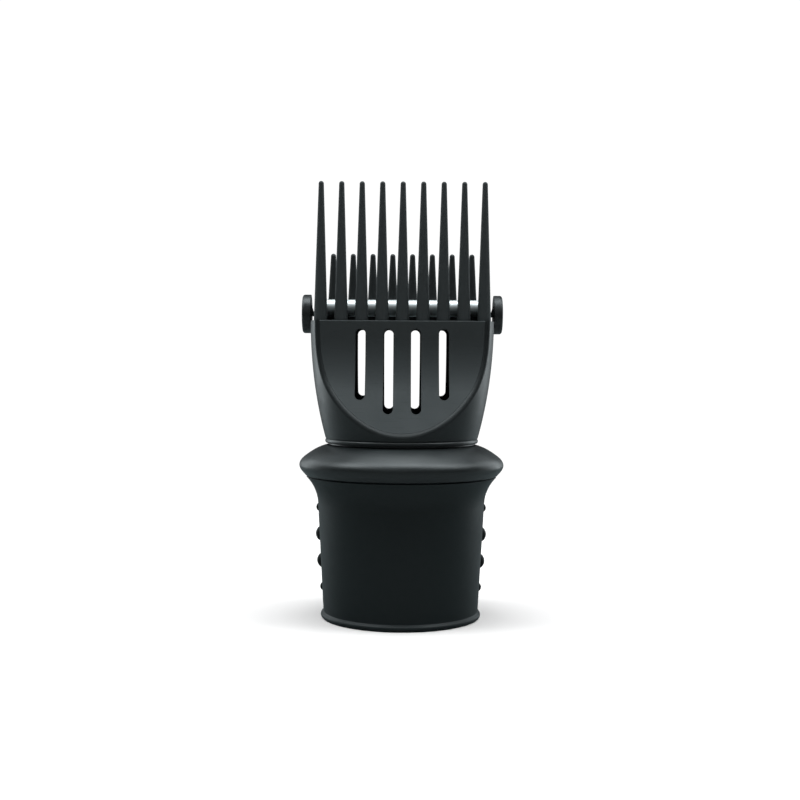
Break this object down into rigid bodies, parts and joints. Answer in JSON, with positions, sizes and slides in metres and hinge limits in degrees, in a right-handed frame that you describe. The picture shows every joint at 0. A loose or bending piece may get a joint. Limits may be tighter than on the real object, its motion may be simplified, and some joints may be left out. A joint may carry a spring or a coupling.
{
  "type": "hair dryer comb nozzle",
  "caption": "Comb nozzle for a hair dryer: rubber adapter sleeve, bulged collar, swivelling slotted head with a row of long teeth and a tilting short comb between two knobs.",
  "frame": {"origin": "centre of the rubber sleeve's bottom rim, where the dryer's barrel goes in", "axes": "+Z along the air path towards the teeth, +X to the right across the combs, -Y to the front, where the long teeth are"},
  "size_m": [0.0733, 0.0732, 0.1547],
  "materials": {
    "sleeve_rubber": "matte moulded rubber",
    "seal_rubber": "matte nitrile rubber",
    "satin_plastic": "satin moulded plastic",
    "comb_plastic": "satin moulded plastic",
    "knob_plastic": "satin moulded plastic",
    "inner_plastic": "plain moulded acetal",
    "polished_steel": "polished stainless tube",
    "spring_steel": "drawn spring wire",
    "blackened_steel": "black oxide"
  },
  "bodies": {
    "base": {"adapter_sleeve": "sleeve_rubber", "collar_ring": "satin_plastic", "sleeve_clamp_ring": "inner_plastic"},
    "head": {"nozzle_housing": "satin_plastic", "front_comb_plate": "comb_plastic", "rear_grille_plate": "comb_plastic", "swivel_snap_ring": "spring_steel", "swivel_o_ring": "seal_rubber"},
    "short_comb": {"rear_comb": "comb_plastic", "glide_bar": "polished_steel", "comb_cheek_left": "inner_plastic", "comb_cheek_right": "inner_plastic", "friction_washer_left": "inner_plastic", "friction_washer_right": "inner_plastic", "pivot_screw_left": "blackened_steel", "pivot_screw_right": "blackened_steel", "knob_left": "knob_plastic", "knob_right": "knob_plastic", "knob_cap_left": "knob_plastic", "knob_cap_right": "knob_plastic"}
  },
  "joints": [
    {"name": "head_swivel", "type": "hinge", "parent": "base", "child": "head", "pos_m": [0, 0, 0.0622], "axis": [0, 0, 1], "continuous": true},
    {"name": "comb_tilt", "type": "hinge", "parent": "head", "child": "short_comb", "pos_m": [0, 0.005, 0.1089], "axis": [1, 0, 0], "range_deg": [-90, 40]}
  ]
}
